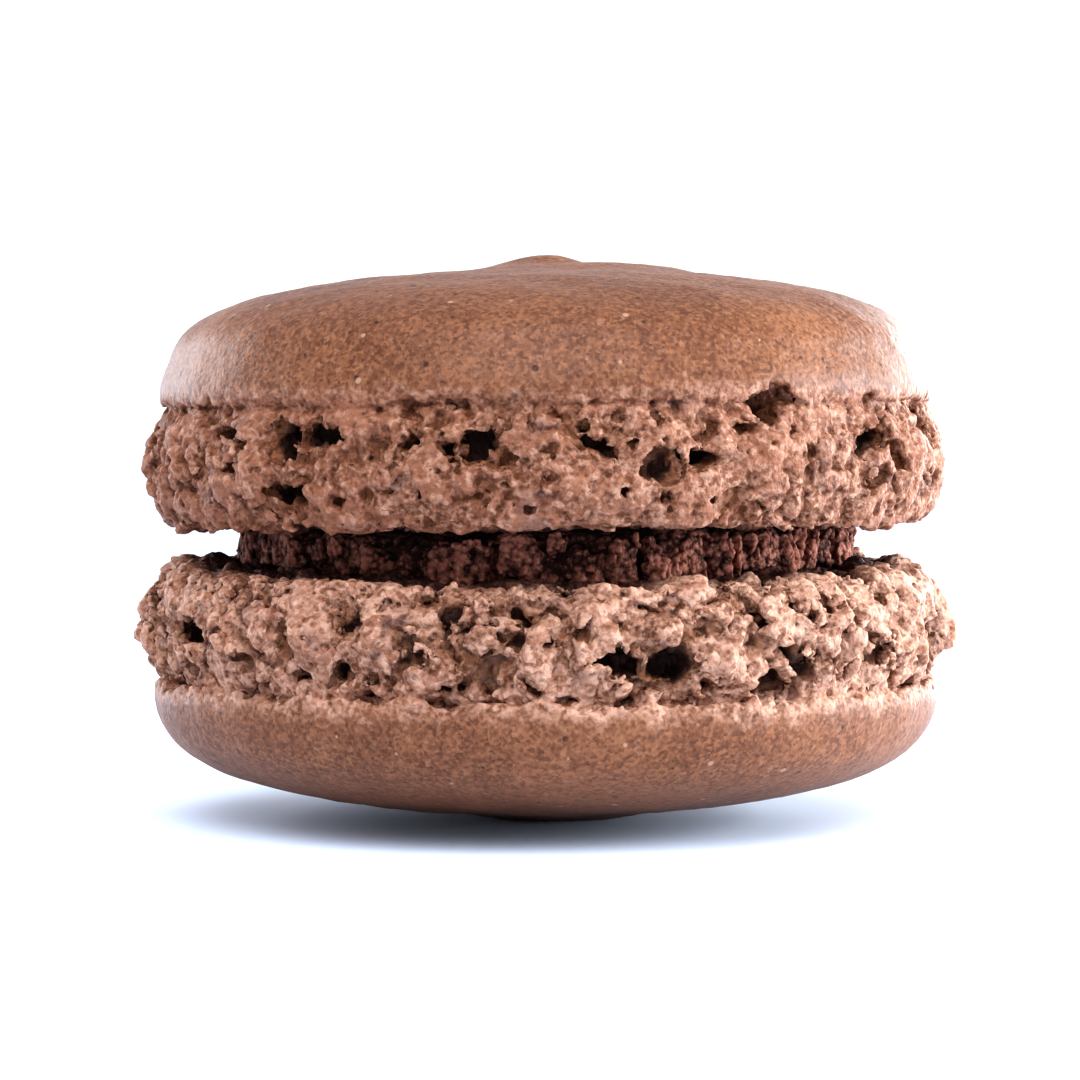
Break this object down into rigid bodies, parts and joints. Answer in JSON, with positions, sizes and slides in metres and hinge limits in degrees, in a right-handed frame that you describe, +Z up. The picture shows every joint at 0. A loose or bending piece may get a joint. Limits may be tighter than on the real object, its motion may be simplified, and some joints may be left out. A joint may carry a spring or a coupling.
{
  "type": "chocolate macaron",
  "caption": "Round filled biscuit: smooth domed almond crusts over frilly porous feet, with a layer of dark ganache between them.",
  "frame": {"origin": "on the surface it stands on, under the middle of the macaron", "axes": "+Z up through the tip of the upper crust, -Y towards the side that the picture shows, +X to that side's right"},
  "size_m": [0.0442, 0.0443, 0.0304],
  "materials": {
    "baked_cocoa_meringue": "baked cocoa and almond meringue: satin smooth crust with fine speckles, over a paler, matte, open foam at the foot",
    "dark_ganache": "set dark chocolate ganache, crumbly and matte at its edge, with a faint fatty gleam"
  },
  "bodies": {
    "root": {"upper_shell": "baked_cocoa_meringue", "ganache": "dark_ganache", "lower_shell": "baked_cocoa_meringue"}
  },
  "joints": []
}
